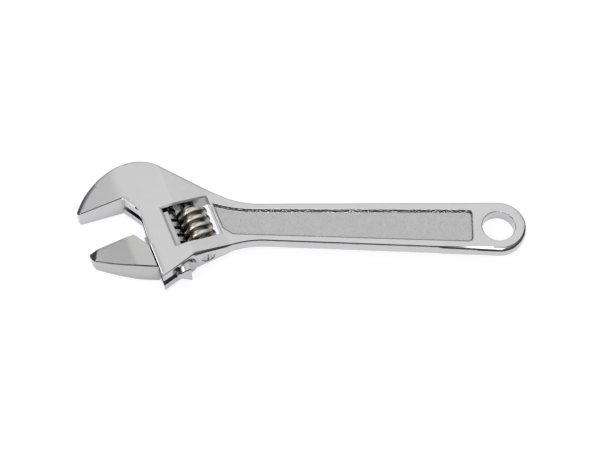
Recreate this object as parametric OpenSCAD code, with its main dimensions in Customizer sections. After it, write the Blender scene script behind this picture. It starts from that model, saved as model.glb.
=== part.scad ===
// Adjustable wrench, 6-inch class, shown with its jaws partly open.
// Origin: axis of the hang hole, in the mid-plane of the wrench.
// +X runs along the handle towards its tail, +Z out of the upper face.
// Head frame: x along the jaw faces towards the handle, y the way the fixed
// jaw lies, origin at the inner end of the fixed jaw's face.

/* [Jaws] */
// Angle between the jaw faces and the handle
jaw_angle = 22.5; // [20:0.5:25]
// Gap between the jaw faces as shown
jaw_gap = 15.5; // [6:0.5:20]
// Length of the fixed jaw's face
jaw_length = 16; // [15:0.5:18]
// Half thickness of the fixed jaw at its tip
fixed_tip_half = 3.85; // [3:0.05:4.5]
// Half thickness of the movable jaw at its tip
moving_tip_half = 3.2; // [2.5:0.05:4]
// Clearance between the movable jaw and the head it slides on
slide_gap = 0.25; // [0.15:0.05:0.4]
// Thickness of the web that joins the movable jaw to its rack rod
web_t = 3.2; // [2.4:0.1:3.6]

/* [Head] */
// Thickness of the head across its flat faces
head_t = 11; // [10:0.5:12]
// Distance from the hang hole to the inner end of the fixed jaw, along the handle
throat_x = 133.75; // [130:0.25:140]
// Height of the inner end of the fixed jaw above the handle's centre line
throat_y = 7; // [6.5:0.25:7.5]
// Radius of the crown, the highest part of the head
crown_r = 14.7; // [14:0.1:15]
// Radius of the long curve down the back of the fixed jaw
back_r = 28.3; // [27:0.1:30]
// Slope of the shoulder between the crown and the handle
shoulder_slope = 25; // [24:0.5:26]
// Depth of the head below the fixed jaw's face, at the worm
head_depth = 30.8; // [30:0.1:32]
// Width of the worm window, along the jaw faces
window_w = 16.9; // [16:0.1:17.5]
// Length of the worm window, along the slide
window_l = 15.9; // [15.5:0.1:16.5]

/* [Worm drive] */
// Pitch of the worm and of the rack
pitch = 3.2; // [3:0.1:3.2]
// Outside diameter of the worm
worm_d = 11.8; // [11.6:0.1:12]
// Diameter of the worm between its crests
worm_root_d = 8; // [7.6:0.1:8.2]
// Length of the worm
worm_l = 13; // [12:0.1:14]
// Hand of the worm's thread
worm_hand = 1; // [1:Right-hand, -1:Left-hand]
// Diameter of the rack rod
rod_d = 8.54; // [8.3:0.02:8.6]
// Running clearance of the rod and the worm's bore, on the radius
running_gap = 0.08; // [0.05:0.01:0.1]

/* [Handle] */
// Radius of the handle's tail, about the hang hole
tail_r = 9.8; // [9.4:0.1:10.2]
// Diameter of the hang hole
hang_hole_d = 11.56; // [10:0.1:12]
// Thickness of the handle across its rims
handle_t = 5.2; // [4.8:0.1:6]
// Half width of the handle at its narrowest
neck_half = 7.9; // [7.5:0.1:8.3]
// Depth of the recessed panel in each face of the handle
panel_depth = 0.65; // [0.4:0.05:1]

/* [Pin and spring] */
// Diameter of the worm's pin
pin_d = 3.2; // [2.8:0.1:3.4]
// Diameter of the pin's head
pin_head_d = 4.8; // [4.4:0.1:5]
// Wire diameter of the worm's spring
wire_d = 0.55; // [0.4:0.05:0.6]

/* [Hidden] */
$fn = 96;

chrome = [0.80, 0.80, 0.81];
nickel = [0.74, 0.72, 0.67];
steel = [0.62, 0.62, 0.63];
spring_steel = [0.45, 0.45, 0.46];

far = 60;                     // long enough to cut right through the head
head_half = head_t / 2;
handle_half = handle_t / 2;
handle_run = 150;             // covers the handle from the head frame's origin

// Stations in the head frame
slide_wall_x = 3.6;           // wall the movable jaw slides on
rod_x = 12.5;                 // axis of the rack rod
worm_x = 21.4;                // axis of the worm
crease_x = 16.2;              // where the flat face starts to slope to the handle
slope_end_x = 30.7;           // where the slope meets the handle's rims
window_x = 11.9;
window_top = -9;
window_end = window_top - window_l;
worm_end_gap = 0.35;           // the spring holds the worm at the lower end of its window
worm_top = window_end + worm_end_gap + worm_l;
throat_foot = [4.6, -7.6];    // foot of the facet that slopes down from the fixed jaw
relief_end = [slide_wall_x, -20.5];
heel = [slide_wall_x, -34.8]; // lower corner of the wall the jaw slides on
heel_bend = [15.9, -head_depth];
slot_top = -0.3;

// Rack rod, worm and their mesh
bore_r = rod_d / 2 + running_gap;
bore_end = 6.6;
rod_top = bore_end - 0.4 - jaw_gap;
rod_end = rod_top - 25.9;
rod_chamfer = 1;
rod_bevel = 9.9;              // x plus z of the bevel's edge on the rod's lower end
rack_crest_x = 16.6;
rack_root_x = 13.7;
rack_plain = 2.9;             // toothless end of the rod, cut down to the roots
first_gap = -14.55;
worm_r = worm_d / 2;
worm_root_r = worm_root_d / 2;
crest_w = 1.15;               // width of the worm's crest
root_w = 2.05;                // width of the worm's thread at its root
flank_gap = 0.12;
lead_slope = pitch / (PI * worm_d);
turns_step = 7.5;             // degrees between stations along the thread

// Pin and spring
pin_top = window_top + 5;
pin_head_l = 2;
pin_recess = 0.2;
pin_slot_w = 0.6;
pin_slot_depth = 0.4;
pin_fit = 0.02;
pin_bottom = -head_depth + pin_recess;
spring_bore_r = 3.1;
spring_bore_l = 3;
coil_r = 2.35;
coil_turns = 5.5;
coil_end_gap = 0.06;

// Handle outline
neck_x = 80;
edge_r = tail_r - 0.03;       // the handle's edges cross the tail's round at a slight angle
edge_angle = asin(edge_r / norm([neck_x, neck_half])) - atan2(neck_half, neck_x);
upper_fillet_r = 31;
lower_fillet_r = 32;
hole_chamfer = 0.35;
panel_end = -9.3;
panel_corner = 1.5;
panel_flare_r = 52;
panel_flare_x = -86;
panel_left = 29.6;
panel_left_top = -9.7;
panel_left_low = -22.5;
panel_low_corner = [-93.9, -4.7];
panel_neck_half = 4.95;
panel_tail_half = 6.05;

// ---------------------------------------------------------------- geometry
function turn(p, a) = [p.x * cos(a) - p.y * sin(a), p.x * sin(a) + p.y * cos(a)];

// A point of the head frame, in the wrench's own frame
function head(p) = [-throat_x, throat_y] + turn(p, jaw_angle);

// Where two lines meet, each given by its unit normal and distance from the origin
function meet(n, c, m, d) =
    let (det = n.x * m.y - n.y * m.x)
    [(c * m.y - d * n.y) / det, (n.x * d - m.x * c) / det];

// Where a circle about p and a circle about q cross, to the right of the way from p to q
function cross_right(p, rp, q, rq) =
    let (d = norm(q - p), u = (q - p) / d, a = (d * d + rp * rp - rq * rq) / (2 * d))
    p + a * u + sqrt(rp * rp - a * a) * [u.y, -u.x];

edge_up = turn([0, 1], edge_angle);
edge_down = [edge_up.x, -edge_up.y];
neck_up = [-neck_x, neck_half];
neck_down = [-neck_x, -neck_half];

crown_c = [6.05 - throat_x, throat_y + 1.04];
shoulder_n = turn([0, 1], -shoulder_slope);
crown_end = crown_c + crown_r * shoulder_n;
tip_outer = head([-jaw_length - 0.4, 1.2]);
tip_inner = head([-jaw_length, 0]);
back_c = cross_right(tip_outer, back_r, crown_c, back_r - crown_r);
crown_start = crown_c + crown_r * (crown_c - back_c) / norm(crown_c - back_c);

upper_c = meet(shoulder_n, crown_end * shoulder_n + upper_fillet_r,
               edge_up, neck_up * edge_up + upper_fillet_r);
belly_n = turn([0, -1], jaw_angle);
lower_c = meet(belly_n, head(heel_bend) * belly_n + lower_fillet_r,
               edge_down, neck_down * edge_down + lower_fillet_r);

panel_slope = atan2(panel_tail_half - panel_neck_half, neck_x + panel_end);
function panel_half(x) = panel_neck_half + (x + neck_x) * tan(panel_slope);
panel_flare_c = [panel_flare_x, panel_half(panel_flare_x)]
                + panel_flare_r * turn([0, 1], panel_slope);

module in_head() {
    translate([-throat_x, throat_y, 0])
        rotate([0, 0, jaw_angle])
            children();
}

// The part of a circle that bulges out over the chord from p to q
module bulge(c, r, p, q) {
    along = (q - p) / norm(q - p);
    out = [-along.y, along.x];
    intersection() {
        translate(c) circle(r = r);
        polygon([p, (p + q) / 2 - out, q, q + out * r, p + out * r]);
    }
}

// A cylinder along the head frame's y, from y0 up to y1
module along_slide(x, y0, y1, r) {
    translate([x, y0, 0])
        rotate([-90, 0, 0])
            cylinder(r = r, h = y1 - y0);
}

// Outline of the forging, seen from above
module outline() {
    difference() {
        union() {
            polygon([
                edge_r * edge_up,
                upper_c - upper_fillet_r * edge_up,
                upper_c - upper_fillet_r * shoulder_n,
                crown_end,
                crown_start,
                tip_outer,
                tip_inner,
                head([0, 0]),
                head(throat_foot),
                head(relief_end),
                head(heel),
                head(heel_bend),
                lower_c - lower_fillet_r * belly_n,
                lower_c - lower_fillet_r * edge_down,
                edge_r * edge_down
            ]);
            circle(r = tail_r);
            bulge(crown_c, crown_r, crown_start, crown_end);
            bulge(back_c, back_r, tip_outer, crown_start);
        }
        translate(upper_c) circle(r = upper_fillet_r);
        translate(lower_c) circle(r = lower_fillet_r);
    }
}

// Side profile: flat head, jaw tapering to its tip, slope down to the handle
module side_profile() {
    tip_x = -jaw_length - 2;
    tip_z = head_half + (fixed_tip_half - head_half) * (-tip_x / jaw_length);
    rotate([90, 0, 0])
        linear_extrude(height = 2 * handle_run, center = true)
            polygon([
                [tip_x, tip_z],
                [0, head_half],
                [crease_x, head_half],
                [slope_end_x, handle_half],
                [handle_run, handle_half],
                [handle_run, -handle_half],
                [slope_end_x, -handle_half],
                [crease_x, -head_half],
                [0, -head_half],
                [tip_x, -tip_z]
            ]);
}

// Outline of the recessed panel in the handle's face
module panel_outline() {
    corner_x = panel_end - panel_corner;
    corner_y = panel_half(corner_x) - panel_corner;
    difference() {
        polygon([
            [corner_x, panel_half(corner_x)],
            [panel_flare_x, panel_half(panel_flare_x)],
            head([panel_left, panel_left_top]),
            head([panel_left, panel_left_low]),
            panel_low_corner,
            [corner_x, -panel_half(corner_x)]
        ]);
        translate(panel_flare_c) circle(r = panel_flare_r);
    }
    translate([corner_x - panel_corner, -corner_y])
        square([2 * panel_corner, 2 * corner_y]);
    for (side = [-1, 1])
        translate([corner_x, side * corner_y])
            circle(r = panel_corner);
}

module hang_hole() {
    hole_r = hang_hole_d / 2;
    cylinder(r = hole_r, h = head_t, center = true);
    for (side = [0, 180])
        rotate([side, 0, 0])
            translate([0, 0, handle_half - hole_chamfer])
                cylinder(r1 = hole_r, r2 = hole_r + 2 * hole_chamfer, h = 2 * hole_chamfer);
}

// Keyhole the movable jaw's rod and web slide in
module keyway() {
    along_slide(rod_x, -far, bore_end - rod_chamfer, bore_r);
    translate([rod_x, bore_end - rod_chamfer, 0])
        rotate([-90, 0, 0])
            cylinder(r1 = bore_r, r2 = bore_r - rod_chamfer, h = rod_chamfer);
    translate([0, -far, -web_t / 2 - 0.1])
        cube([rod_x, far + slot_top, web_t + 0.2]);
}

module pin_hole() {
    along_slide(worm_x, -far, pin_top + 0.3, pin_d / 2 + pin_fit);
    along_slide(worm_x, -far, pin_bottom + pin_head_l + 0.1, pin_head_d / 2 + 0.05);
}

// ------------------------------------------------------------------- parts
module body() {
    color(chrome)
        difference() {
            intersection() {
                linear_extrude(height = head_t, center = true) outline();
                in_head() side_profile();
            }
            for (side = [0, 180])
                rotate([side, 0, 0])
                    translate([0, 0, handle_half - panel_depth])
                        linear_extrude(height = head_half)
                            mirror([0, side / 180, 0]) panel_outline();
            hang_hole();
            in_head() {
                translate([window_x, window_end, -head_t])
                    cube([window_w, window_l, 2 * head_t]);
                keyway();
                pin_hole();
            }
        }
}

// Lower jaw seen from above, in the head frame
module jaw_outline() {
    wall_x = slide_wall_x - slide_gap;
    face = -jaw_gap;
    face_end = -0.5;
    // the shoulder is parallel to the throat's facet, so that the jaws can close
    shoulder = (wall_x - face_end) * throat_foot.y / throat_foot.x;
    lower_tip = [-16.5, face - 3.9];
    lower_heel = [wall_x, face - 15];
    lower_r = 88;
    chord = lower_heel - lower_tip;
    mid = (lower_heel + lower_tip) / 2;
    lower_c = mid + sqrt(lower_r * lower_r - chord * chord / 4)
              * [-chord.y, chord.x] / norm(chord);
    polygon([
        [-jaw_length - 1.4, face - 0.4],
        [-jaw_length - 1.1, face],
        [face_end, face],
        [wall_x, face + shoulder],
        lower_heel,
        lower_tip,
        [-jaw_length - 1.2, face - 2.6]
    ]);
    bulge(lower_c, lower_r, lower_heel, lower_tip);
}

module jaw_profile() {
    taper_x = -3.5;
    tip_x = -jaw_length - 2;
    rotate([90, 0, 0])
        linear_extrude(height = 2 * far, center = true)
            polygon([
                [tip_x, moving_tip_half],
                [taper_x, head_half],
                [far, head_half],
                [far, -head_half],
                [taper_x, -head_half],
                [tip_x, -moving_tip_half]
            ]);
}

// One rack gap, cut across the rod at the worm's lead angle
module rack_gap() {
    flank = (root_w - crest_w) / (worm_d - worm_root_d);
    tip_x = worm_x - worm_r;
    half_tip = crest_w / 2 + flank_gap;
    half_mouth = half_tip + flank * (rack_crest_x + 1 - tip_x);
    rotate([atan(-worm_hand * lead_slope), 0, 0])
        linear_extrude(height = 2 * rod_d, center = true)
            polygon([
                [rack_root_x, -half_tip],
                [rack_root_x, half_tip],
                [tip_x, half_tip],
                [rack_crest_x + 1, half_mouth],
                [rack_crest_x + 1, -half_mouth],
                [tip_x, -half_tip]
            ]);
}

module rack_rod() {
    first = ceil((first_gap - rod_top) / pitch);
    last = floor((first_gap - rod_end - rack_plain) / pitch);
    difference() {
        union() {
            along_slide(rod_x, rod_end, rod_top - rod_chamfer, rod_d / 2);
            translate([rod_x, rod_top - rod_chamfer, 0])
                rotate([-90, 0, 0])
                    cylinder(r1 = rod_d / 2, r2 = rod_d / 2 - rod_chamfer, h = rod_chamfer);
        }
        translate([rack_crest_x, rod_end - 1, -rod_d])
            cube([rod_d, rod_top - rod_end + 2, 2 * rod_d]);
        translate([rack_root_x, rod_end - 1, -rod_d])
            cube([rod_d, rack_plain + 1, 2 * rod_d]);
        translate([rod_bevel, rod_end, 0])
            rotate([0, -30, 55])
                translate([-rod_d, -rod_d, -2 * rod_d])
                    cube([rod_d, 2 * rod_d, 4 * rod_d]);
        for (i = [first : last])
            translate([0, first_gap - i * pitch, 0])
                rack_gap();
    }
}

module movable_jaw() {
    wall_x = slide_wall_x - slide_gap;
    web_top = -jaw_gap - 0.4;
    web_l = 15.5;
    color(chrome)
        in_head() {
            intersection() {
                linear_extrude(height = head_t, center = true) jaw_outline();
                jaw_profile();
            }
            translate([wall_x - 0.5, web_top - web_l, -web_t / 2])
                cube([rod_x - rod_d / 4 - wall_x + 0.5, web_l, web_t]);
            rack_rod();
        }
}

// Helical body of the worm about the z axis, longer than the worm itself.
// Each row of points follows one corner of the thread's profile for a turn,
// and its end joins the start of the same corner a pitch further on.
// A crest passes height crest_z on the -x side.
module thread_blank(length, crest_z) {
    cols = 360 / turns_step;
    n = 2 * ceil(length / pitch / 2) + 4;
    shift = crest_z / pitch - 0.5 - round(crest_z / pitch - 0.5);
    corners = [[worm_root_r, -root_w / 2], [worm_r, -crest_w / 2],
               [worm_r, crest_w / 2], [worm_root_r, root_w / 2]];
    turn_rows = len(corners);
    rows = n * turn_rows;
    function at(k, j) = j < cols ? k * cols + j : (k + turn_rows) * cols;
    points = [
        for (k = [0 : rows - 1])
            let (c = corners[k % turn_rows],
                 z = (floor(k / turn_rows) - n / 2 + shift) * pitch + c.y)
            for (j = [0 : cols - 1])
                let (a = j * turns_step)
                [c.x * cos(a), worm_hand * c.x * sin(a), z + pitch * j / cols]
    ];
    low = rows * cols;
    ends = [[0, 0, -n * pitch], [0, 0, n * pitch]];
    low_rim = [for (j = [0 : cols - 1]) at(0, j), for (k = [turn_rows : -1 : 1]) at(k, 0)];
    top_rim = [for (j = [0 : cols - 1]) at(rows - 1, j),
               for (k = [2 : turn_rows + 1]) at(rows - k, cols - 1)];
    rim = len(low_rim);
    walls = [
        for (k = [0 : rows - 2])
            for (j = [0 : cols - 1])
                if (j < cols - 1 || k < rows - turn_rows - 1)
                    let (a = at(k, j), b = at(k, j + 1), c = at(k + 1, j + 1), d = at(k + 1, j))
                    each [[a, c, b], [a, d, c]]
    ];
    lids = [
        for (j = [0 : rim - 1])
            each [[low, low_rim[j], low_rim[(j + 1) % rim]],
                  [low + 1, top_rim[(j + 1) % rim], top_rim[j]]]
    ];
    faces = concat(walls, lids);
    polyhedron(concat(points, ends),
               worm_hand > 0 ? faces : [for (f = faces) [f[0], f[2], f[1]]]);
}

module worm() {
    middle = worm_top - worm_l / 2;
    color(nickel)
        in_head()
            translate([worm_x, middle, 0])
                rotate([-90, 0, 0])
                    difference() {
                        intersection() {
                            thread_blank(worm_l, first_gap - middle);
                            cylinder(r = worm_r + 1, h = worm_l, center = true);
                        }
                        cylinder(r = pin_d / 2 + running_gap, h = 2 * worm_l, center = true);
                        translate([0, 0, worm_l / 2 - spring_bore_l])
                            cylinder(r = spring_bore_r, h = spring_bore_l + 1);
                    }
}

module worm_pin() {
    slot_z = pin_head_d;
    color(steel)
        in_head()
            difference() {
                union() {
                    along_slide(worm_x, pin_bottom, pin_bottom + pin_head_l, pin_head_d / 2);
                    along_slide(worm_x, pin_bottom, pin_top, pin_d / 2);
                }
                translate([worm_x - pin_slot_w / 2, pin_bottom - 1, -slot_z])
                    cube([pin_slot_w, pin_slot_depth + 1, 2 * slot_z]);
            }
}

// Coil spring, wound about the pin in the end of the worm
module worm_spring() {
    sides = 8;
    steps = 20;
    last = coil_turns * steps;
    rise = spring_bore_l + window_top - worm_top - wire_d - 2 * coil_end_gap;
    start = wire_d / 2 + coil_end_gap;
    points = [
        for (i = [0 : last])
            let (a = 360 * i / steps, z = start + rise * i / last)
            for (j = [0 : sides - 1])
                let (t = 360 * j / sides, r = coil_r + wire_d / 2 * cos(t))
                [r * cos(a), r * sin(a), z + wire_d / 2 * sin(t)]
    ];
    walls = [
        for (i = [0 : last - 1])
            for (j = [0 : sides - 1])
                let (a = i * sides + j, b = i * sides + (j + 1) % sides)
                each [[a, b + sides, a + sides], [a, b, b + sides]]
    ];
    lids = [
        [for (j = [sides - 1 : -1 : 0]) j],
        [for (j = [0 : sides - 1]) last * sides + j]
    ];
    color(spring_steel)
        in_head()
            translate([worm_x, worm_top - spring_bore_l, 0])
                rotate([-90, 0, 0])
                    polyhedron(points, concat(walls, lids));
}

body();
movable_jaw();
worm();
worm_pin();
worm_spring();
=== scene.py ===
import math

import bpy
import numpy as np
from mathutils import Matrix, Vector
from mathutils.geometry import delaunay_2d_cdt


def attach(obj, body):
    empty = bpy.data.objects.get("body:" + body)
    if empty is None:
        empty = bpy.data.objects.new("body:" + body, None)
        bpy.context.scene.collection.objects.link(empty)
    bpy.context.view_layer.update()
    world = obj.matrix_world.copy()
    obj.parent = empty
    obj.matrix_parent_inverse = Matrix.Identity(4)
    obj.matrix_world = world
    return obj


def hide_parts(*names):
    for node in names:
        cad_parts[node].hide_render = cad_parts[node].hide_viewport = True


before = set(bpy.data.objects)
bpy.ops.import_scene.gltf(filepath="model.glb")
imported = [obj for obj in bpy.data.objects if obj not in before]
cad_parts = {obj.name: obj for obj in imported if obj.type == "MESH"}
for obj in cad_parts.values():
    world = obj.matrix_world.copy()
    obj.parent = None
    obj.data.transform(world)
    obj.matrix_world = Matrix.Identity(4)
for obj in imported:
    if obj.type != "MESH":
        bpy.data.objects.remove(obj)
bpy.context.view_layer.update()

# Lengths below are in millimetres, and become metres as each mesh is made.
MM = 0.001

# ------------------------------------------------------------------ camera
CAM_AZIMUTH = math.radians(-0.336)
CAM_ELEVATION = math.radians(60.878)
CAM_ROLL = math.radians(0.662)
CAM_DISTANCE = 589.0 * MM
CAM_TARGET = Vector((-70.26, 0.435, 0)) * MM
CAM_LENS = 99.54


def add_camera():
    """A camera CAM_DISTANCE from its target, above the wrench's near side and rolled a little."""
    sa, ca = math.sin(CAM_AZIMUTH), math.cos(CAM_AZIMUTH)
    se, ce = math.sin(CAM_ELEVATION), math.cos(CAM_ELEVATION)
    sr, cr = math.sin(CAM_ROLL), math.cos(CAM_ROLL)
    ahead = Vector((sa * ce, ca * ce, -se))
    right = Vector((ca, -sa, 0))
    up = Vector((sa * se, ca * se, ce))
    x, y = cr * right + sr * up, cr * up - sr * right
    data = bpy.data.cameras.new("camera")
    data.lens, data.sensor_width = CAM_LENS, 36
    data.clip_start, data.clip_end = 0.01, 20
    cam = bpy.data.objects.new("camera", data)
    cam.matrix_world = Matrix.Translation(CAM_TARGET - CAM_DISTANCE * ahead) @ Matrix(
        (x, y, -ahead)).transposed().to_4x4()
    bpy.context.scene.collection.objects.link(cam)
    bpy.context.scene.camera = cam


# ---------------------------------------------------------- plan dimensions
JAW_ANGLE = math.radians(22.5)
THROAT = np.array([-133.75, 7.0])
HEAD_HALF, HANDLE_HALF = 5.5, 2.6
CREASE_A, SLOPE_END_A = 16.2, 30.7
FIXED_TIP_HALF, MOVING_TIP_HALF = 3.85, 3.2
JAW_LENGTH, JAW_GAP = 16.0, 15.5
TAIL_R, HOLE_R = 9.8, 5.78
NECK = np.array([80.0, 7.9])
CROWN_C, CROWN_R, BACK_R = np.array([-127.7, 8.04]), 14.7, 28.3
SHOULDER = math.radians(25)
UPPER_R, LOWER_R = 31.0, 32.0
HEAD_DEPTH = 30.8
WALL_A, HEEL_B, HEEL_BEND_A = 3.6, -34.8, 15.9
THROAT_FOOT, RELIEF_END, FOOT_R = (4.6, -7.6), (WALL_A, -20.5), 5.0
WINDOW = (11.9, 28.8, -24.9, -9.0)      # lowest and highest a, lowest and highest b
ROD_A, ROD_R, BORE_R, BORE_END = 12.5, 4.27, 4.35, 6.6
WORM_A, WORM_R, WORM_ROOT_R = 21.4, 5.9, 4.0
PITCH = 3.2
BELOW_HEAD = -60.0                       # a b that is lower than the whole head
PANEL_DEPTH, WALL_TILT, WALL_ROUND = 1.1, math.radians(51), 0.3
PANEL_START_A, PANEL_END_X, PANEL_HALF_MOST = 29.5, -8.6, 6.9
END_WALL = 0.3           # width of the recess's wall at its two ends, as a share of its sides'


def unit(angle):
    return np.array([math.cos(angle), math.sin(angle)])


def turned(p, angle):
    c, s = math.cos(angle), math.sin(angle)
    return np.array([p[0] * c - p[1] * s, p[0] * s + p[1] * c])


def head(a, b):
    """A point of the head frame (a along the jaw faces, b the way the fixed jaw lies)."""
    return THROAT + turned((a, b), JAW_ANGLE)


def in_head(p):
    """Head frame coordinates of an array of points."""
    d = p - THROAT
    c, s = math.cos(JAW_ANGLE), math.sin(JAW_ANGLE)
    return d[:, 0] * c + d[:, 1] * s, d[:, 1] * c - d[:, 0] * s


def meet(n, c, m, d):
    """Where the line n.p = c crosses the line m.p = d."""
    return np.linalg.solve(np.array([n, m]), np.array([c, d]))


def cross_right(p, rp, q, rq):
    """Where two circles cross, on the right of the way from centre p to centre q."""
    d = np.linalg.norm(q - p)
    u = (q - p) / d
    a = (d * d + rp * rp - rq * rq) / (2 * d)
    return p + a * u + math.sqrt(rp * rp - a * a) * np.array([u[1], -u[0]])


# ------------------------------------------------------------ loop building
STEP = 0.7                               # longest stretch between two points of a loop


def along(p, q, centre=None):
    """Points from p towards q, on a line or round a centre, without q itself."""
    p, q = np.array(p, float), np.array(q, float)
    if centre is None:
        n = max(1, math.ceil(np.linalg.norm(q - p) / STEP))
        return [p + (q - p) * i / n for i in range(n)]
    r = np.linalg.norm(p - centre)
    a0, a1 = math.atan2(*(p - centre)[::-1]), math.atan2(*(q - centre)[::-1])
    turn = (a1 - a0 + math.pi) % (2 * math.pi) - math.pi
    n = max(2, math.ceil(abs(turn) * max(r, 3) / STEP))
    return [centre + r * unit(a0 + turn * i / n) for i in range(n)]


ROUND, BEVEL, DOUBLE_BEVEL, FLANK = range(4)
# each shape's way from the wall up to the face, as shares of the edge's width and of its drop
EDGE_SHARES = np.array([
    [(1 - math.cos(t), math.sin(t)) for t in np.radians((0, 22, 45, 68, 90))],
    [(0, 0), (0.25, 0.25), (0.5, 0.5), (0.75, 0.75), (1, 1)],
    [(0, 0), (0.15, 0.25), (0.3, 0.5), (0.65, 0.75), (1, 1)],
    [(0, 0), (0.19, 0.24), (0.38, 0.48), (0.56, 0.71), (1, 1)]])


def rounded(r):
    """An edge is its width, its drop and its shape."""
    return r, r, ROUND


def bevelled(width, tilt):
    """A bevel of that width, tilted by so many degrees from the face."""
    return width, width * math.tan(math.radians(tilt)), BEVEL


def loop_of(stations):
    """stations: (point, centre of the arc to the next or None, edge at its start, at its end)."""
    points, edges = [], []
    for i, (p, centre, e0, e1) in enumerate(stations):
        run = along(p, stations[(i + 1) % len(stations)][0], centre)
        points += run
        for k in range(len(run)):
            t = (k + 0.5) / len(run)
            edges.append((e0[0] + (e1[0] - e0[0]) * t, e0[1] + (e1[1] - e0[1]) * t, e0[2]))
    return np.array(points), np.array(edges)


CORNER_SINE = math.sin(math.radians(9))  # a sharper turn than this is a corner
UNFOLD_ROUNDS = 12
SHORTEST_EDGE = 0.02


def inset(points, dist):
    """The loop moved to its left, each edge by its own distance."""
    step = np.roll(points, -1, axis=0) - points
    step /= np.linalg.norm(step, axis=1)[:, None]
    n1 = np.stack([-step[:, 1], step[:, 0]], axis=1)
    n0, d1 = np.roll(n1, 1, axis=0), dist * np.ones(len(points))
    d0 = np.roll(d1, 1)
    det = n0[:, 0] * n1[:, 1] - n0[:, 1] * n1[:, 0]
    mean = n0 + n1
    mean /= (mean ** 2).sum(axis=1)[:, None] / 2
    out = mean * ((d0 + d1) / 2)[:, None]
    k = np.abs(det) > CORNER_SINE
    out[k, 0] = (d0[k] * n1[k, 1] - d1[k] * n0[k, 1]) / det[k]
    out[k, 1] = (d1[k] * n0[k, 0] - d0[k] * n1[k, 0]) / det[k]
    out += points
    # where a corner overtakes its neighbours they are drawn in until no edge runs backwards
    for _ in range(UNFOLD_ROUNDS):
        back = ((np.roll(out, -1, axis=0) - out) * step).sum(axis=1) <= SHORTEST_EDGE
        if not back.any():
            break
        free = (back | np.roll(back, 1)) & ~k
        out[free] = ((np.roll(out, 1, axis=0) + np.roll(out, -1, axis=0)) / 2)[free]
    return out


def inside(p, loop):
    """Which of the points p are inside the loop."""
    a, b = loop, np.roll(loop, -1, axis=0)
    hit = np.zeros(len(p), bool)
    for (x0, y0), (x1, y1) in zip(a, b):
        if y0 != y1:
            rows = (y0 > p[:, 1]) != (y1 > p[:, 1])
            hit ^= rows & (p[:, 0] < x0 + (p[:, 1] - y0) * (x1 - x0) / (y1 - y0))
    return hit


def clear_of(p, loops, gap):
    """Which of the points p are further than gap from every loop."""
    keep = np.ones(len(p), bool)
    for loop in loops:
        for start, step in zip(loop, np.roll(loop, -1, axis=0) - loop):
            share = np.clip((p - start) @ step / (step @ step), 0, 1)[:, None]
            keep &= ((p - start - share * step) ** 2).sum(axis=1) > gap * gap
    return keep


def patches(tris, walls):
    """The triangles in groups that the walls' edges separate."""
    beside = {}
    for i, t in enumerate(tris):
        for pair in (frozenset((t[k - 1], t[k])) for k in range(3)):
            if pair not in walls:
                beside.setdefault(pair, []).append(i)
    joined = [[] for _ in tris]
    for pair in beside.values():
        for i in pair:
            joined[i] += [j for j in pair if j != i]
    seen, groups = set(), []
    for i in range(len(tris)):
        if i not in seen:
            seen.add(i)
            todo, group = [i], []
            while todo:
                k = todo.pop()
                group.append(tris[k])
                fresh = [j for j in joined[k] if j not in seen]
                seen.update(fresh)
                todo += fresh
            groups.append(group)
    return groups


def is_solid(patch, points, loops):
    """Whether the patch lies inside the first loop and outside the others."""
    p = points[np.array(patch)]
    u, v = p[:, 1] - p[:, 0], p[:, 2] - p[:, 0]
    largest = p[np.argmax(np.abs(u[:, 0] * v[:, 1] - u[:, 1] * v[:, 0]))]
    middle = largest.mean(axis=0)[None]
    return inside(middle, loops[0])[0] and not any(inside(middle, h)[0] for h in loops[1:])


WALL_ROUND_STEPS = 4


def panel_wall():
    """The recess's wall from its rim to its floor, as (way across the wall's middle line,
    share of the depth): a small round at either end of a straight slope."""
    c, s = math.cos(WALL_TILT), math.sin(WALL_TILT)
    slope = (PANEL_DEPTH - 2 * WALL_ROUND * (1 - c)) / s
    half = WALL_ROUND * s + slope * c / 2
    upper = []
    for t in np.linspace(0, WALL_TILT, WALL_ROUND_STEPS):
        down = WALL_ROUND * (1 - math.cos(t))
        upper.append((WALL_ROUND * math.sin(t) - half, down / PANEL_DEPTH))
    return upper + [(-across, 1 - share) for across, share in reversed(upper)]


def edge_stack(points, edge, top):
    """The rings of a loop's shaped edge, from the wall up to the face, each with its heights."""
    width, drop = edge[:, 0], (edge[:, 1] + np.roll(edge[:, 1], 1)) / 2
    shares = EDGE_SHARES[edge[:, 2].astype(int)]
    stack = []
    for k in range(EDGE_SHARES.shape[1]):
        ring = inset(points, width * shares[:, k, 0])
        stack.append((ring, top(ring) - drop * (1 - shares[:, k, 1])))
    return stack


def recess_rings(panel, top, floor_z):
    """The rings of a recess's wall, from its rim to its floor, each with its heights."""
    run = np.roll(panel, -1, axis=0) - panel
    lying = np.abs(run[:, 0]) / np.linalg.norm(run, axis=1)
    rings = []
    for across, share in panel_wall():
        ring = inset(panel, across * (END_WALL + (1 - END_WALL) * lying))
        rings.append((ring, top(ring) * (1 - share) + floor_z * share))
    return rings


# How far a face's own points keep from its rings. It is less than half the width of the recess
# wall's slope, so a few points lie on that slope and dent it, between x = -66 and x = -61.
GRID_GAP = 0.32
FRAME_HALF = 400.0
SAME_POINT = 1e-5


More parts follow.
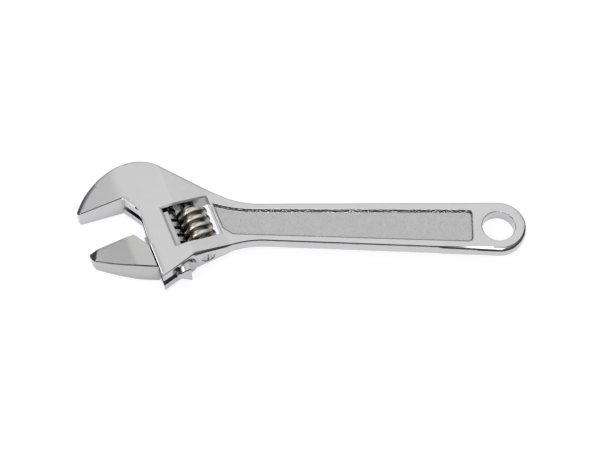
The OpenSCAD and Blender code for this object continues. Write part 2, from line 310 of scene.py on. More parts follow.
def face_between(rims, recess, grid, grid_z, top):
    """The upper face as its points, its triangles and the numbers of each rim's points."""
    coords, edges = [], []
    for ring, _ in rims + recess:
        first = len(coords)
        coords += [Vector(p) for p in ring]
        edges += [(first + i, first + (i + 1) % len(ring)) for i in range(len(ring))]
    # a wide frame keeps every thin triangle outside the plate joined to the rest of the outside
    frame_points = FRAME_HALF * np.array([(-1, -1), (1, -1), (1, 1), (-1, 1)])
    coords += [Vector(p) for p in np.concatenate([grid, frame_points])]
    made, _, tris, origin, _, _ = delaunay_2d_cdt(coords, edges, [], 0, SAME_POINT, True)
    z_in = np.concatenate([heights for _, heights in rims + recess] + [grid_z, np.zeros(4)])
    made = np.array([tuple(v) for v in made])
    z = np.array([z_in[o[0]] if o else np.nan for o in origin])
    lost = np.isnan(z)
    z[lost] = top(made[lost]) if lost.any() else 0
    where = {old: new for new, olds in enumerate(origin) for old in olds}
    walls, rim_ids, start = set(), [], 0
    for ring, _ in rims:
        ids = [where[start + i] for i in range(len(ring))]
        walls |= {frozenset(pair) for pair in zip(ids, ids[1:] + ids[:1])}
        rim_ids.append(ids)
        start += len(ring)
    faces = []
    for patch in patches([tuple(t) for t in tris], walls):
        if is_solid(patch, made, [ring for ring, _ in rims]):
            faces += patch
    return [(x, y, h) for (x, y), h in zip(made, z)], faces, rim_ids


def edge_strips(verts, stack, ids):
    """Adds an edge's rings under its rim to verts. Gives their faces and the lowest ring."""
    n = len(ids)
    strips = []
    for ring, height in stack[-2::-1]:
        lower = list(range(len(verts), len(verts) + n))
        verts += [(x, y, h) for (x, y), h in zip(ring, height)]
        strips += [(lower[i], lower[(i + 1) % n], ids[(i + 1) % n], ids[i]) for i in range(n)]
        ids = lower
    return strips, ids


SIDE_LEVELS = 5                          # strips from the upper edge's wall to the lower one's


def side_wall(verts, ids, mirrored, bulge):
    """Adds the rings between ids and its mirror image to verts. Gives the wall's faces."""
    n = len(ids)
    outline = np.array([verts[i][:2] for i in ids])
    height = np.array([verts[i][2] for i in ids])
    above, faces = ids, []
    for level in range(1, SIDE_LEVELS + 1):
        t = 1 - 2 * level / SIDE_LEVELS
        if level == SIDE_LEVELS:
            below = mirrored
        else:
            moved = inset(outline, -bulge * (1 - t * t))
            below = list(range(len(verts), len(verts) + n))
            verts += [(x, y, h * t) for (x, y), h in zip(moved, height)]
        faces += [(below[i], below[(i + 1) % n], above[(i + 1) % n], above[i])
                  for i in range(n)]
        above = below
    return faces


def plate(name, outer, holes, top, grid, panel=None, floor_z=0.0, bulge=0.0):
    """A plate that is the same above and below. outer and holes are (points, edges), with the
    material on the left. top gives the height of its face, and panel is the outline of a
    recess. The outer wall swells by bulge at mid-height."""
    stacks = [edge_stack(points, edge, top) for points, edge in [outer] + holes]
    rims = [stack[-1] for stack in stacks]
    recess = [] if panel is None else recess_rings(panel, top, floor_z)
    rings = [ring for ring, _ in rims + recess]
    keep = inside(grid, rings[0]) & clear_of(grid, rings, GRID_GAP)
    for ring in rings[1:len(rims)]:
        keep &= ~inside(grid, ring)
    grid = grid[keep]
    grid_z = top(grid)
    if recess:
        grid_z = np.where(inside(grid, recess[len(recess) // 2][0]), floor_z, grid_z)
    verts, top_faces, rim_ids = face_between(rims, recess, grid, grid_z, top)
    wall_rings = []
    for stack, ids in zip(stacks, rim_ids):
        strips, lowest = edge_strips(verts, stack, ids)
        top_faces += strips
        wall_rings.append(lowest)
    half = len(verts)
    verts += [(x, y, -h) for x, y, h in verts]
    faces = top_faces + [tuple(half + i for i in reversed(f)) for f in top_faces]
    for k, ids in enumerate(wall_rings):
        faces += side_wall(verts, ids, [half + i for i in ids], bulge if k == 0 else 0.0)
    used = sorted({i for f in faces for i in f})
    renumber = {old: new for new, old in enumerate(used)}
    verts = [tuple(c * MM for c in verts[i]) for i in used]
    return add_mesh(name, verts, [tuple(renumber[i] for i in f) for f in faces])


SMOOTH_ANGLE = 30                        # edges that turn by less, in degrees, are shaded smooth


def add_mesh(name, verts, faces, smooth=SMOOTH_ANGLE):
    mesh = bpy.data.meshes.new(name)
    mesh.from_pydata(verts, [], faces)
    mesh.update()
    finish_shading(mesh, smooth)
    obj = bpy.data.objects.new(name, mesh)
    bpy.context.scene.collection.objects.link(obj)
    return obj


def finish_shading(mesh, smooth):
    mesh.shade_smooth()
    mesh.set_sharp_from_angle(angle=math.radians(smooth))


def combine(obj, tool, how):
    """Cuts or joins a closed tool into a closed piece, and removes the tool."""
    cut = obj.modifiers.new("combine", "BOOLEAN")
    cut.object, cut.operation, cut.solver = tool, how, "MANIFOLD"
    bpy.context.view_layer.update()
    done = obj.evaluated_get(bpy.context.evaluated_depsgraph_get())
    mesh = bpy.data.meshes.new_from_object(done)
    obj.modifiers.remove(cut)
    old, name = obj.data, obj.data.name
    obj.data = mesh
    bpy.data.meshes.remove(old)
    mesh.name = name
    finish_shading(mesh, SMOOTH_ANGLE)
    bpy.data.objects.remove(tool)


# ------------------------------------------------------------ closed tools
ROUND_SIDES, WORM_SIDES = 72, 96         # facets round a bore or a rod, and round the worm


def lathe(profile, a, sides=ROUND_SIDES):
    """A solid of revolution about the line at a, which runs along b. profile: (radius, b), with
    b rising."""
    verts, faces = [], []
    for r, b in profile:
        for i in range(sides):
            t = 2 * math.pi * i / sides
            x, y = head(a + r * math.cos(t), b)
            verts.append((x * MM, y * MM, r * math.sin(t) * MM))
    for k in range(len(profile) - 1):
        for i in range(sides):
            j = (i + 1) % sides
            p, q = k * sides, (k + 1) * sides
            faces.append((p + i, q + i, q + j, p + j))
    faces.append(tuple(range(sides)))
    faces.append(tuple(reversed(range((len(profile) - 1) * sides, len(profile) * sides))))
    return add_mesh("tool", verts, faces)


def prism(outline, low, high, place):
    """A prism. place(u, v, w) gives the wrench's own coordinates of an outline point (u, v) at
    height w."""
    n = len(outline)
    verts = [place(u, v, w) for w in (low, high) for u, v in outline]
    verts = [tuple(c * MM for c in v) for v in verts]
    faces = [(i, (i + 1) % n, n + (i + 1) % n, n + i) for i in range(n)]
    faces += [tuple(reversed(range(n))), tuple(range(n, 2 * n))]
    return add_mesh("tool", verts, faces)


def block(a0, a1, b0, b1, half_z):
    """A box that lies square in the head frame, as thick below the middle as above it."""
    return prism([(a0, b0), (a1, b0), (a1, b1), (a0, b1)], -half_z, half_z,
                 lambda u, v, w: (*head(u, v), w))


# ---------------------------------------------------------------- the body
def ramp(x, width):
    """0 below zero and x above it, with a smooth bend of that half width."""
    mid = (x + width) ** 2 / (4 * width)
    return np.where(x < -width, 0, np.where(x > width, x, mid))


FACE_SLOPE = (HEAD_HALF - HANDLE_HALF) / (SLOPE_END_A - CREASE_A)
JAW_TAPER = (HEAD_HALF - FIXED_TIP_HALF) / JAW_LENGTH
CREASE_BEND, SLOPE_END_BEND, JAW_BEND = 0.35, 1.5, 1.5


def body_top(p):
    """Height of the body's face: flat head, slope down to the handle, taper to the jaw's tip."""
    a, _ = in_head(p)
    z = HEAD_HALF - FACE_SLOPE * (ramp(a - CREASE_A, CREASE_BEND)
                                  - ramp(a - SLOPE_END_A, SLOPE_END_BEND))
    return z - JAW_TAPER * ramp(-a, JAW_BEND)


def fillet(before, corner, after, radius):
    """Start, centre and end of the arc that rounds a corner of the head frame."""
    before, corner, after = (np.array(p, float) for p in (before, corner, after))
    u = (before - corner) / np.linalg.norm(before - corner)
    v = (after - corner) / np.linalg.norm(after - corner)
    half = math.acos(np.dot(u, v)) / 2
    middle = (u + v) / np.linalg.norm(u + v)
    reach = radius / math.tan(half)
    centre = head(*(corner + middle * radius / math.sin(half)))
    return corner + u * reach, centre, corner + v * reach


FIXED_TIP_LEAN, FIXED_TIP_HEIGHT = 0.4, 1.2
TAIL_EDGE_SHARE = 0.75                   # along the handle's lower line, where its edge changes


def body_outline():
    edge = math.asin(TAIL_R / np.linalg.norm(NECK)) - math.atan2(NECK[1], NECK[0])
    up = turned((0, 1), edge)
    down = np.array([up[0], -up[1]])
    shoulder = turned((0, 1), -SHOULDER)
    crown_end = CROWN_C + CROWN_R * shoulder
    tip_outer = head(-JAW_LENGTH - FIXED_TIP_LEAN, FIXED_TIP_HEIGHT)
    tip_inner = head(-JAW_LENGTH, 0)
    back_c = cross_right(tip_outer, BACK_R, CROWN_C, BACK_R - CROWN_R)
    out = (CROWN_C - back_c) / np.linalg.norm(CROWN_C - back_c)
    crown_start = CROWN_C + CROWN_R * out
    neck_up, neck_down = NECK * (-1, 1), NECK * (-1, -1)
    upper_c = meet(shoulder, crown_end @ shoulder + UPPER_R, up, neck_up @ up + UPPER_R)
    belly = turned((0, -1), JAW_ANGLE)
    heel_bend = head(HEEL_BEND_A, -HEAD_DEPTH)
    lower_c = meet(belly, heel_bend @ belly + LOWER_R, down, neck_down @ down + LOWER_R)
    handle_start = lower_c - LOWER_R * down
    handle_end = TAIL_R * down
    edge_change = handle_start * (1 - TAIL_EDGE_SHARE) + handle_end * TAIL_EDGE_SHARE
    wide, flank, tail = rounded(0.85), (0.8, 1.55, FLANK), (1.4, 1.1, DOUBLE_BEVEL)
    fine, dull, guide = rounded(0.12), rounded(0.4), bevelled(0.2, 23)
    crown, back, nose = bevelled(0.6, 31), bevelled(1.3, 31), bevelled(0.7, 31)
    grip, facet = bevelled(0.2, 56), bevelled(0.7, 29)
    bend, tail_start = (1.1, 0.95, DOUBLE_BEVEL), (0.8, 1.2, DOUBLE_BEVEL)
    tail_end = (0.85, 0.85, DOUBLE_BEVEL)
    foot_a, foot_c, foot_b = fillet((0, 0), THROAT_FOOT, RELIEF_END, FOOT_R)
    return loop_of([
        (TAIL_R * up, None, wide, wide),
        (upper_c - UPPER_R * up, upper_c, wide, wide),
        (upper_c - UPPER_R * shoulder, None, wide, wide),
        (crown_end, CROWN_C, wide, wide),
        (crown_start, back_c, crown, back),
        (tip_outer, None, nose, nose),
        (tip_inner, None, grip, grip),
        (head(0, 0), None, facet, facet),
        (head(*foot_a), foot_c, rounded(0.35), fine),
        (head(*foot_b), None, fine, fine),
        (head(*RELIEF_END), None, guide, guide),
        (head(WALL_A, HEEL_B), None, dull, rounded(0.7)),
        (heel_bend, None, bend, tail_start),
        (lower_c - LOWER_R * belly, lower_c, flank, flank),
        (handle_start, None, flank, flank),
        (edge_change, None, tail_start, tail),
        (handle_end, np.zeros(2), tail, tail_end),
        (np.array([TAIL_R, 0.0]), np.zeros(2), wide, wide),
    ])


def window_loop():
    a0, a1, b0, b1 = WINDOW
    left, top, right, bottom = bevelled(0.6, 29), bevelled(0.65, 31), rounded(0.35), rounded(0.3)
    return loop_of([
        (head(a0, b0), None, left, left),
        (head(a0, b1), None, top, top),
        (head(a1, b1), None, right, right),
        (head(a1, b0), None, bottom, bottom),
    ])


def hole_loop():
    points = np.array([HOLE_R * unit(-2 * math.pi * i / ROUND_SIDES) for i in range(ROUND_SIDES)])
    return points, np.array([rounded(0.35)] * ROUND_SIDES)


def panel_loop():
    """The middle line of the wall of the handle's recess."""
    neck_half, tail_half, end, corner, flare_r, flare_x = 4.95, 6.05, -9.3, 1.5, 52.0, -86.0
    low, low_bend = head(30.0, -22.5), np.array([-93.9, -4.7])
    slope = math.atan2(tail_half - neck_half, NECK[0] + end)

    def half(x):
        return neck_half + (x + NECK[0]) * math.tan(slope)

    x = end - corner
    y = half(x) - corner
    normal = turned((0, 1), slope)
    flare_at = np.array([flare_x, half(flare_x)])
    flare_c = flare_at + flare_r * normal
    # the inner end runs along the window's right wall, up to the flare
    wall = turned((0, 1), JAW_ANGLE)
    d = low - flare_c
    start = low - wall * (d @ wall + math.sqrt((d @ wall) ** 2 - d @ d + flare_r ** 2))
    stations = [(start, None), (low, None), (low_bend, None),
                (np.array([x, -half(x)]), np.array([x, -y])), (np.array([end, -y]), None),
                (np.array([end, y]), np.array([x, y])), (np.array([x, half(x)]), None),
                (flare_at, flare_c)]
    return loop_of([(p, c, rounded(0), rounded(0)) for p, c in stations])[0]


def body_grid():
    """Points of the body's face: rows along the head, closer at its bends, then the handle's."""
    across, row, step = 1.3, 1.2, 1.4
    lines = list(np.arange(-18, CREASE_A - 1, across))
    lines += [CREASE_A + d for d in (-0.7, -0.35, 0, 0.35, 0.7)]
    lines += list(np.arange(CREASE_A + 2, SLOPE_END_A - 1.6, across))
    lines += [SLOPE_END_A + d for d in (-1.5, -0.9, -0.3, 0.3, 0.9, 1.5)]
    points = [head(a, b) for a in lines for b in np.arange(-36, 18, row)]
    handle = np.array([(x, y) for x in np.arange(-112, 9.5, step)
                       for y in np.arange(-26, 26, across)])
    past = in_head(handle)[0] > SLOPE_END_A + 2.4
    return np.concatenate([np.array(points), handle[past]])


SIDE_BULGE = 0.02                        # how far the forged sides swell at mid-height
BORE_CHAMFER = 1
KEYHOLE_HALF, KEYHOLE_TOP = 1.7, -0.3
PIN_HEAD_BORE_R, PIN_HEAD_END, PIN_BORE_R, PIN_BORE_END = 2.45, -28.5, 1.62, -3.7


def make_body():
    obj = plate("wrench_body", body_outline(), [window_loop(), hole_loop()], body_top,
                body_grid(), panel_loop(), HANDLE_HALF - PANEL_DEPTH, SIDE_BULGE)
    combine(obj, lathe([(BORE_R, BELOW_HEAD), (BORE_R, BORE_END - BORE_CHAMFER),
                        (BORE_R - BORE_CHAMFER, BORE_END)], ROD_A), "DIFFERENCE")
    combine(obj, block(0, ROD_A, BELOW_HEAD, KEYHOLE_TOP, KEYHOLE_HALF), "DIFFERENCE")
    combine(obj, lathe([(PIN_HEAD_BORE_R, BELOW_HEAD), (PIN_HEAD_BORE_R, PIN_HEAD_END),
                        (PIN_BORE_R, PIN_HEAD_END), (PIN_BORE_R, PIN_BORE_END)], WORM_A),
            "DIFFERENCE")
    return obj


# --------------------------------------------------------- the movable jaw
FACE_B = -JAW_GAP
JAW_WALL_A = WALL_A - 0.25
JAW_FACE_END = -0.5
UNDERSIDE_R = 88.0
MOVING_TIP, HEEL_DROP = (-16.5, FACE_B - 3.9), 15
NOSE = ((-JAW_LENGTH - 1.1, FACE_B), (-JAW_LENGTH - 1.4, FACE_B - 0.4),
        (-JAW_LENGTH - 1.2, FACE_B - 2.6))
WEB_HALF, WEB_TOP, WEB_BOTTOM = 1.6, FACE_B - 0.4, FACE_B - 15.9
JAW_TAPER_A, JAW_TIP_A = -3.5, -18.0
MOVING_TAPER = (HEAD_HALF - MOVING_TIP_HALF) / (JAW_TAPER_A - JAW_TIP_A)
ROD_TOP, ROD_END, ROD_CHAMFER, ROD_END_CHAMFER = BORE_END - 0.4 - JAW_GAP, -35.2, 1.0, 0.3
RACK_CREST_A, RACK_ROOT_A, RACK_PLAIN, FIRST_GAP = 16.6, 13.7, 2.9, -14.55
ROD_BEVEL, BEVEL_TURN, BEVEL_TILT = 9.9, math.radians(55), math.radians(-30)
CREST_W, ROOT_W, FLANK_GAP = 1.15, 2.05, 0.12
LEAD_ANGLE = math.atan(PITCH / (2 * math.pi * WORM_R))
TIP_FACET_A, TIP_SKEW, TIP_SLOPE = -14.1, -0.5, math.tan(math.radians(27))
TAPER_BEND, FACET_BEND = 1.0, 0.12


def jaw_top(p):
    """Height of the jaw's face: flat, then a taper, and a steeper facet at the tip."""
    a, b = in_head(p)
    z = HEAD_HALF - MOVING_TAPER * ramp(JAW_TAPER_A - a, TAPER_BEND)
    return z - TIP_SLOPE * ramp(TIP_FACET_A - a - TIP_SKEW * (b - FACE_B), FACET_BEND)


def jaw_outline():
    shoulder_b = FACE_B + (JAW_WALL_A - JAW_FACE_END) * THROAT_FOOT[1] / THROAT_FOOT[0]
    tip, heel = head(*MOVING_TIP), head(JAW_WALL_A, FACE_B - HEEL_DROP)
    chord = heel - tip
    side = np.array([-chord[1], chord[0]]) / np.linalg.norm(chord)
    centre = (tip + heel) / 2 + math.sqrt(UNDERSIDE_R ** 2 - chord @ chord / 4) * side
    fine, under, near = rounded(0.15), bevelled(0.3, 55), bevelled(0.35, 55)
    guide = bevelled(0.35, 69)
    return loop_of([
        (tip, centre, under, near),
        (heel, None, guide, guide),
        (head(JAW_WALL_A, shoulder_b), None, fine, fine),
        (head(JAW_FACE_END, FACE_B), None, fine, fine),
        *((head(*corner), None, fine, fine) for corner in NOSE),
    ])


def jaw_grid():
    """Points of the jaw's face, in rows that are closer at the tip's facet and the taper."""
    facet = [-17, -16.4, -15.9, -15.5, -15.3, -15.1, -14.9, -14.7, -14.5, -14]
    taper = [-12.5, -11, -9.5, -8, -6.5, -4.5, -4, -3.5, -3, -2.5]
    flat = [-1, 0.5, 2]
    rows = np.arange(FACE_B - 17, FACE_B, 1.2)
    return np.array([head(a, b) for a in facet + taper + flat for b in rows])


def make_rack_rod():
    """The jaw's round rod, with a flat for the rack, its teeth and a bevel under its end."""
    past, wide, reach = 30, 10, 9        # each takes a cutting tool clear of the rod
    rod = lathe([(ROD_R - ROD_END_CHAMFER, ROD_END), (ROD_R, ROD_END + ROD_END_CHAMFER),
                 (ROD_R, ROD_TOP - ROD_CHAMFER), (ROD_R - ROD_CHAMFER, ROD_TOP)], ROD_A)
    combine(rod, block(RACK_CREST_A, past, BELOW_HEAD, 0, wide), "DIFFERENCE")
    combine(rod, block(RACK_ROOT_A, past, BELOW_HEAD, ROD_END + RACK_PLAIN, wide), "DIFFERENCE")
    turn = Matrix.Rotation(BEVEL_TURN, 3, "Z") @ Matrix.Rotation(BEVEL_TILT, 3, "Y")

    def under_bevel(u, v, w):
        p = turn @ Vector((u, v, w))
        return (*head(ROD_BEVEL + p.x, ROD_END + p.y), p.z)

    corners = [(-reach, -reach), (0, -reach), (0, reach), (-reach, reach)]
    combine(rod, prism(corners, -2 * reach, 2 * reach, under_bevel), "DIFFERENCE")
    flank = (ROOT_W - CREST_W) / (2 * (WORM_R - WORM_ROOT_R))
    tip_a, mouth_a = WORM_A - WORM_R, RACK_CREST_A + 1
    tip = CREST_W / 2 + FLANK_GAP
    mouth = tip + flank * (mouth_a - tip_a)
    outline = [(RACK_ROOT_A, -tip), (tip_a, -tip), (mouth_a, -mouth), (mouth_a, mouth),
               (tip_a, tip), (RACK_ROOT_A, tip)]
    c, s = math.cos(LEAD_ANGLE), math.sin(LEAD_ANGLE)
    first = math.ceil((FIRST_GAP - ROD_TOP) / PITCH)
    last = math.floor((FIRST_GAP - ROD_END - RACK_PLAIN) / PITCH)
    for i in range(first, last + 1):
        at = FIRST_GAP - i * PITCH
        gap = prism(outline, -reach, reach,
                    lambda u, v, w: (*head(u, at + v * c + w * s), w * c - v * s))
        combine(rod, gap, "DIFFERENCE")
    return rod


def make_jaw():
    obj = plate("sliding_jaw", jaw_outline(), [], jaw_top, jaw_grid(), bulge=SIDE_BULGE)
    combine(obj, block(JAW_WALL_A - 0.5, ROD_A - ROD_R / 2, WEB_BOTTOM, WEB_TOP, WEB_HALF),
            "UNION")
    combine(obj, make_rack_rod(), "UNION")
    return obj


# ---------------------------------------------------------------- the worm
WORM_L, WORM_TOP = 13.0, -11.55
WORM_MIDDLE = WORM_TOP - WORM_L / 2
WORM_CHAMFER, WORM_SMOOTH = 0.7, 40
WORM_BORE_R, SPRING_BORE_R, SPRING_BORE_DEPTH = 1.68, 3.1, 3


def thread_profile():
    """(radius, height) of one pitch of the thread, from mid-groove to mid-groove."""
    half = [(WORM_R, 0.0), (WORM_R, CREST_W / 2 - 0.2), (WORM_R - 0.04, CREST_W / 2 - 0.06),
            (WORM_R - 0.16, CREST_W / 2 + 0.04), (WORM_R - 0.4, CREST_W / 2 + 0.11),
            (WORM_ROOT_R + 0.4, ROOT_W / 2 - 0.1), (WORM_ROOT_R + 0.12, ROOT_W / 2 + 0.02),
            (WORM_ROOT_R, ROOT_W / 2 + 0.2)]
    return [(r, -h) for r, h in half[:0:-1]] + half


def make_worm():
    """A long helical thread, cut to the worm's length between chamfered ends, then bored."""
    profile = thread_profile()
    per_turn = len(profile)
    turns = 2 * math.ceil(WORM_L / PITCH / 2) + 4
    phase = (FIRST_GAP - WORM_MIDDLE) / PITCH - 0.5
    phase -= round(phase)
    rows = turns * per_turn
    verts = []
    for k in range(rows):
        r, h = profile[k % per_turn]
        base = (k // per_turn - turns / 2 + phase) * PITCH + h
        for j in range(WORM_SIDES):
            t = 2 * math.pi * j / WORM_SIDES
            x, y = head(WORM_A + r * math.cos(t), WORM_MIDDLE + base + PITCH * j / WORM_SIDES)
            verts.append((x * MM, y * MM, -r * math.sin(t) * MM))

    def at(k, j):
        return k * WORM_SIDES + j if j < WORM_SIDES else (k + per_turn) * WORM_SIDES

    faces = [(at(k, j), at(k, j + 1), at(k + 1, j + 1), at(k + 1, j))
             for k in range(rows - 1) for j in range(WORM_SIDES)
             if j < WORM_SIDES - 1 or k < rows - per_turn - 1]
    low = [at(0, j) for j in range(WORM_SIDES)] + [at(k, 0) for k in range(per_turn, 0, -1)]
    high = [at(rows - 1, j) for j in range(WORM_SIDES)]
    high += [at(rows - k, WORM_SIDES - 1) for k in range(2, per_turn + 2)]
    for rim, end, flip in ((low, -turns * PITCH, False), (high, turns * PITCH, True)):
        x, y = head(WORM_A, WORM_MIDDLE + end)
        tip = len(verts)
        verts.append((x * MM, y * MM, 0))
        for i in range(len(rim)):
            pair = (rim[i], rim[(i + 1) % len(rim)])
            faces.append((tip, *pair) if flip else (tip, pair[1], pair[0]))
    obj = add_mesh("adjusting_worm", verts, faces, WORM_SMOOTH)
    end_r, wide_r, low_b = WORM_R - WORM_CHAMFER, WORM_R + 0.2, WORM_TOP - WORM_L
    combine(obj, lathe([(end_r, low_b), (wide_r, low_b + WORM_CHAMFER),
                        (wide_r, WORM_TOP - WORM_CHAMFER), (end_r, WORM_TOP)], WORM_A,
                       WORM_SIDES), "INTERSECT")
    for r, low in ((WORM_BORE_R, BELOW_HEAD), (SPRING_BORE_R, WORM_TOP - SPRING_BORE_DEPTH)):
        combine(obj, lathe([(r, low), (r, 0)], WORM_A), "DIFFERENCE")
    return obj


# --------------------------------------------------------------- materials
# painted shade, by ambient occlusion: base colours darken where other surfaces within 9 mm close
# them in, and turn near black in crevices within 2.2 mm
CREVICE_SHADE = (0.035, 0.032, 0.03)
SOFT_SHADE, SOFT_REACH, SOFT_FROM, SOFT_TO = 0.72, 9.0, 0.45, 0.85
CREVICE_SHADE_REACH, CREVICE_SHADE_FROM, CREVICE_SHADE_TO = 2.2, 0.05, 0.4
PATCH_SCALE, ROUGH_SCALE, PEBBLE_SCALE = 90, 260, 1500
GRAIN_DEPTH, PEBBLE_DEPTH = 0.02, 0.2
CAST_SHADE, CAST_ROUGHER = 0.9, 0.08
# where the cast skin fades out: heights over the recess's floor, then over the handle's face,
# each with the least z that a normal may have
SKIN_FADE, PEBBLE_FADE = (0.3, 0.1, 0.3), (0.1, -0.2, 0.5)
BRUSHED = (0.15, 1, 1)                   # grain drawn out along the handle
MASK_EDGE = 0.1                          # width of the soft edge of the pebbled area


def new_material(name):
    mat = bpy.data.materials.new(name)
    mat.use_nodes = True
    return mat, mat.node_tree.nodes, mat.node_tree.links


def noise(nodes, links, scale, detail=3, stretch=(1, 1, 1)):
    """Noise in the piece's own coordinates, in metres."""
    coord = nodes.new("ShaderNodeTexCoord")
    place = nodes.new("ShaderNodeMapping")
    place.inputs["Scale"].default_value = stretch
    tex = nodes.new("ShaderNodeTexNoise")
    tex.inputs["Scale"].default_value = scale
    tex.inputs["Detail"].default_value = detail
    links.new(coord.outputs["Object"], place.inputs["Vector"])
    links.new(place.outputs["Vector"], tex.inputs["Vector"])
    return tex.outputs["Fac"]


def spread(nodes, links, source, low, high):
    """A noise's usual values, opened out to between low and high."""
    node = nodes.new("ShaderNodeMapRange")
    node.inputs["From Min"].default_value = 0.3
    node.inputs["From Max"].default_value = 0.7
    node.inputs["To Min"].default_value = low
    node.inputs["To Max"].default_value = high
    links.new(source, node.inputs["Value"])
    return node.outputs["Result"]


def tinted(nodes, links, source, dark, light):
    node = nodes.new("ShaderNodeMix")
    node.data_type = "RGBA"
    node.inputs["A"].default_value = (*dark, 1)
    node.inputs["B"].default_value = (*light, 1)
    links.new(source, node.inputs["Factor"])
    return node.outputs["Result"]


def ramp_of(nodes, links, source, low, high):
    """0 where the source is under low, 1 where it is over high."""
    node = nodes.new("ShaderNodeMapRange")
    node.inputs["From Min"].default_value = low
    node.inputs["From Max"].default_value = high
    links.new(source, node.inputs["Value"])
    return node.outputs["Result"]


def product(nodes, links, source, factor):
    node = nodes.new("ShaderNodeMath")
    node.operation = "MULTIPLY"
    links.new(source, node.inputs[0])
    links.new(factor, node.inputs[1])
    return node.outputs[0]


def with_painted_shade(nodes, links, color, shade_color, reach, low, high):
    """The colour with painted shade: it turns to the shade colour where other surfaces within
    reach close it in, unchanged where more than the share high of its surroundings is open, all
    shade colour under the share low."""
    hollow = nodes.new("ShaderNodeAmbientOcclusion")
    hollow.samples = 8
    hollow.inputs["Distance"].default_value = reach * MM
    unshaded = ramp_of(nodes, links, hollow.outputs["AO"], low, high)
    node = nodes.new("ShaderNodeMix")
    node.data_type = "RGBA"
    node.inputs["A"].default_value = (*shade_color, 1)
    links.new(color, node.inputs["B"])
    links.new(unshaded, node.inputs["Factor"])
    return node.outputs["Result"]


def panel_mask(nodes, links, top, bottom, steepest):
    """1 within the outline of the handle's recesses where |z| is under bottom, fading to 0 where
    it is over top, and only on surfaces whose normal has a z over steepest."""
    coord = nodes.new("ShaderNodeTexCoord")
    place = nodes.new("ShaderNodeSeparateXYZ")
    links.new(coord.outputs["Object"], place.inputs["Vector"])
    facing = nodes.new("ShaderNodeSeparateXYZ")
    links.new(coord.outputs["Normal"], facing.inputs["Vector"])
    mask = ramp_of(nodes, links, place.outputs["X"], PANEL_END_X * MM,
                   (PANEL_END_X - MASK_EDGE) * MM)
    past = nodes.new("ShaderNodeVectorMath")
    past.operation = "DOT_PRODUCT"
    past.inputs[1].default_value = (*unit(JAW_ANGLE), 0)
    links.new(coord.outputs["Object"], past.inputs[0])
    start = THROAT @ unit(JAW_ANGLE) + PANEL_START_A
    begun = ramp_of(nodes, links, past.outputs["Value"], start * MM, (start + MASK_EDGE) * MM)
    mask = product(nodes, links, mask, begun)
    side = PANEL_HALF_MOST
    for source, low, high in ((place.outputs["Y"], side * MM, (side - MASK_EDGE) * MM),
                              (place.outputs["Z"], top * MM, bottom * MM),
                              (facing.outputs["Z"], steepest, steepest + 0.1)):
        size = nodes.new("ShaderNodeMath")
        size.operation = "ABSOLUTE"
        links.new(source, size.inputs[0])
        mask = product(nodes, links, mask, ramp_of(nodes, links, size.outputs[0], low, high))
    return mask


def metal(name, dark, light, rough, grain_scale, grain, stretch=(1, 1, 1), cast=False):
    """Plated metal with patchy colour and roughness, fine grain and painted shade darkening its
    hollows and crevices. With cast, the handle's recesses keep the pebbled, duller skin of the
    forging."""
    mat, nodes, links = new_material(name)
    shader = nodes["Principled BSDF"]
    shader.inputs["Metallic"].default_value = 1
    patch = noise(nodes, links, PATCH_SCALE)
    color = tinted(nodes, links, patch, dark, light)
    if cast:
        top, bottom, steepest = SKIN_FADE
        floor_z = HANDLE_HALF - PANEL_DEPTH
        mask = panel_mask(nodes, links, floor_z + top, floor_z + bottom, steepest)
        skin = nodes.new("ShaderNodeMix")
        skin.data_type = "RGBA"
        skin.inputs["B"].default_value = (*(CAST_SHADE * c for c in dark), 1)
        links.new(color, skin.inputs["A"])
        links.new(mask, skin.inputs["Factor"])
        color = skin.outputs["Result"]
    shade = [SOFT_SHADE * c for c in dark]
    # painted shade: a broad darkening near other surfaces, then near black in crevices
    color = with_painted_shade(nodes, links, color, shade, SOFT_REACH, SOFT_FROM, SOFT_TO)
    color = with_painted_shade(nodes, links, color, CREVICE_SHADE, CREVICE_SHADE_REACH, CREVICE_SHADE_FROM, CREVICE_SHADE_TO)
    links.new(color, shader.inputs["Base Color"])
    roughness = spread(nodes, links, noise(nodes, links, ROUGH_SCALE), *rough)
    bump = nodes.new("ShaderNodeBump")
    bump.inputs["Strength"].default_value = grain
    bump.inputs["Distance"].default_value = GRAIN_DEPTH * MM
    links.new(noise(nodes, links, grain_scale, 4, stretch), bump.inputs["Height"])
    normal = bump.outputs["Normal"]
    if cast:
        rougher = nodes.new("ShaderNodeMath")
        rougher.operation = "MULTIPLY_ADD"
        rougher.inputs[1].default_value = CAST_ROUGHER
        links.new(mask, rougher.inputs[0])
        links.new(roughness, rougher.inputs[2])
        roughness = rougher.outputs[0]
        pebbles = nodes.new("ShaderNodeBump")
        pebbles.inputs["Distance"].default_value = PEBBLE_DEPTH * MM
        top, bottom, steepest = PEBBLE_FADE
        whole = panel_mask(nodes, links, HANDLE_HALF + top, HANDLE_HALF + bottom, steepest)
        links.new(whole, pebbles.inputs["Strength"])
        links.new(noise(nodes, links, PEBBLE_SCALE, 2), pebbles.inputs["Height"])
        links.new(normal, pebbles.inputs["Normal"])
        normal = pebbles.outputs["Normal"]
    links.new(roughness, shader.inputs["Roughness"])
    links.new(normal, shader.inputs["Normal"])
    return mat


def give(obj, mat):
    obj.data.materials.clear()
    obj.data.materials.append(mat)


# ------------------------------------------------------------------- stage
AIM = (-0.07, 0, 0)
# each light's place and size in metres, and its power in watts
LIGHTS = (("key", (-0.27, -0.5, 0.8), (1.2, 0.3), 3.6),
          ("left", (-0.7, 0.2, 0.74), (0.2, 0.4), 0.8))


def add_light(name, at, size, power):
    data = bpy.data.lights.new(name, "AREA")
    data.shape, data.size, data.size_y = "RECTANGLE", size[0], size[1]
    data.energy = power
    lamp = bpy.data.objects.new(name, data)
    lamp.location = at
    lamp.rotation_mode = "QUATERNION"
    lamp.rotation_quaternion = (Vector(AIM) - Vector(at)).to_track_quat("-Z", "Y")
    lamp.visible_camera = False
    bpy.context.scene.collection.objects.link(lamp)


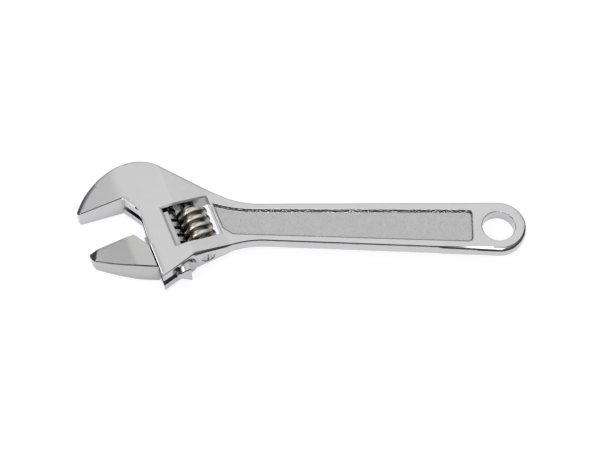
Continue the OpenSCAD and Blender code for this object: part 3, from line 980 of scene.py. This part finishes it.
# colour of the studio, from its dark front up to the middle of its ceiling
STUDIO = ((0.04, (0.06, 0.06, 0.065)), (0.34, (0.42, 0.42, 0.44)), (0.64, (0.83, 0.83, 0.84)),
          (0.735, (0.95, 0.95, 0.95)), (0.775, (1.08, 1.08, 1.07)), (0.90, (1.16, 1.16, 1.15)))
CEILING_BACK, CEILING_SIDES, CEILING_RIGHT, CEILING_SCALE = 0.5, -0.61, 0.19, 0.8


def add_world():
    """A studio with a white ceiling that comes down at the back, a dark front and a darker
    left side."""
    world = bpy.data.worlds.new("studio")
    bpy.context.scene.world = world
    world.use_nodes = True
    nodes, links = world.node_tree.nodes, world.node_tree.links
    coord = nodes.new("ShaderNodeTexCoord")
    split = nodes.new("ShaderNodeSeparateXYZ")
    links.new(coord.outputs["Generated"], split.inputs["Vector"])
    aside = nodes.new("ShaderNodeMath")
    aside.operation = "ABSOLUTE"
    links.new(split.outputs["X"], aside.inputs[0])
    total = split.outputs["Z"]
    for source, weight in ((split.outputs["Y"], CEILING_BACK), (aside.outputs[0], CEILING_SIDES),
                           (split.outputs["X"], CEILING_RIGHT)):
        add = nodes.new("ShaderNodeMath")
        add.operation = "MULTIPLY_ADD"
        add.inputs[1].default_value = weight
        links.new(source, add.inputs[0])
        links.new(total, add.inputs[2])
        total = add.outputs[0]
    scale = nodes.new("ShaderNodeMath")
    scale.operation = "MULTIPLY"
    scale.inputs[1].default_value = CEILING_SCALE
    links.new(total, scale.inputs[0])
    shade = nodes.new("ShaderNodeValToRGB")
    ramp = shade.color_ramp
    for _ in STUDIO[2:]:
        ramp.elements.new(0.5)
    for element, (at, color) in zip(ramp.elements, STUDIO):
        element.position = at
        element.color = (*color, 1)
    links.new(scale.outputs[0], shade.inputs["Fac"])
    links.new(shade.outputs["Color"], nodes["Background"].inputs["Color"])
    nodes["Background"].inputs["Strength"].default_value = 1.0


FLOOR_GAP, FLOOR_EDGE = 0.05, 900


def add_floor():
    """A pale floor just under the worm, which stands proud of the head."""
    low, edge = -WORM_R - FLOOR_GAP, FLOOR_EDGE
    mesh = bpy.data.meshes.new("floor")
    corners = [(-edge, -edge), (edge, -edge), (edge, edge), (-edge, edge)]
    mesh.from_pydata([(x * MM, y * MM, low * MM) for x, y in corners], [], [(0, 1, 2, 3)])
    floor = bpy.data.objects.new("floor", mesh)
    bpy.context.scene.collection.objects.link(floor)
    mat, nodes, links = new_material("floor_white")
    shader = nodes["Principled BSDF"]
    shader.inputs["Base Color"].default_value = (0.3, 0.3, 0.3, 1)
    shader.inputs["Roughness"].default_value = 0.9
    shader.inputs["Specular IOR Level"].default_value = 0
    # the floor is a light table, so the wrench throws almost no shadow on it
    shader.inputs["Emission Color"].default_value = (0.97, 0.97, 1, 1)
    shader.inputs["Emission Strength"].default_value = 0.85
    give(floor, mat)


# -------------------------------------------------------------- everything
add_camera()
add_world()
add_floor()
for light in LIGHTS:
    add_light(*light)
bpy.context.scene.view_settings.view_transform = "Standard"

chrome = metal("satin_chrome", (0.53, 0.53, 0.535), (0.57, 0.57, 0.57), (0.16, 0.22),
               900, 0.25, BRUSHED, cast=True)
jaw_chrome = metal("jaw_chrome", (0.46, 0.46, 0.465), (0.495, 0.495, 0.49), (0.16, 0.22),
                   900, 0.25, BRUSHED)
nickel = metal("worm_nickel", (0.56, 0.53, 0.47), (0.68, 0.65, 0.59), (0.22, 0.32), 700, 0.2)
steel = metal("pin_steel", (0.44, 0.44, 0.46), (0.5, 0.5, 0.52), (0.25, 0.35), 700, 0.2)

body = make_body()
give(body, chrome)
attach(body, "body")
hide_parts("body")

for piece, mat, rides, node, slot in (
        (make_jaw(), jaw_chrome, "jaw", "movable_jaw", "chrome"),
        (make_worm(), nickel, "worm", "worm", "nickel")):
    give(piece, mat)
    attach(piece, rides)
    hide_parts(node)

for node, mat in (("worm_pin", steel), ("worm_spring", steel)):
    give(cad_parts[node], mat)
